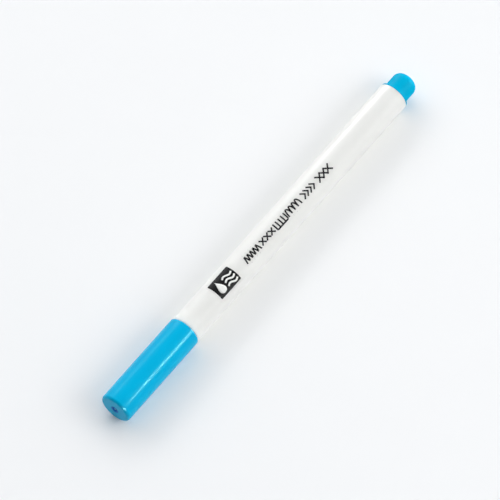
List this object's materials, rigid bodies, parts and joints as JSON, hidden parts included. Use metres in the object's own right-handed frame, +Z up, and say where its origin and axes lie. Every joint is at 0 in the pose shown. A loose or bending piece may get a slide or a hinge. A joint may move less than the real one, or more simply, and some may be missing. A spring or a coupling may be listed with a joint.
{
  "type": "fabric marking pen",
  "caption": "Slim round capped fabric marking pen with a white barrel, blue pull-off cap and end plug, fibre nib and ink reservoir inside.",
  "frame": {"origin": "middle of the pen's length, on the surface that the cap lies on", "axes": "+X along the pen from the cap to the end plug, +Z up from the surface"},
  "size_m": [0.137, 0.01, 0.01],
  "materials": {
    "cap_plastic": "glossy moulded",
    "seal_plastic": "satin, soft",
    "nib_fibre": "bonded fibre, inked",
    "holder_plastic": "satin moulded",
    "nose_plastic": "glossy moulded",
    "barrel_plastic": "glossy moulded, printed",
    "reservoir_fibre": "bonded fibre, ink-soaked",
    "clear_film": "thin film",
    "tube_plastic": "satin extruded",
    "plug_plastic": "glossy moulded",
    "print_black": "satin printing ink on the barrel",
    "print_white": "satin printing ink on the barrel"
  },
  "bodies": {
    "pen": {"barrel": "barrel_plastic", "nose_cone": "nose_plastic", "nib_holder": "holder_plastic", "nib": "nib_fibre", "reservoir_core": "reservoir_fibre", "reservoir_film": "clear_film", "breather_tube": "tube_plastic", "end_plug": "plug_plastic"},
    "cap": {"cap_shell": "cap_plastic", "cap_inner_seal": "seal_plastic"}
  },
  "joints": [
    {"name": "cap_pull", "type": "slide", "parent": "pen", "child": "cap", "axis": [-1, 0, 0], "range_m": [0, 0.04]}
  ]
}
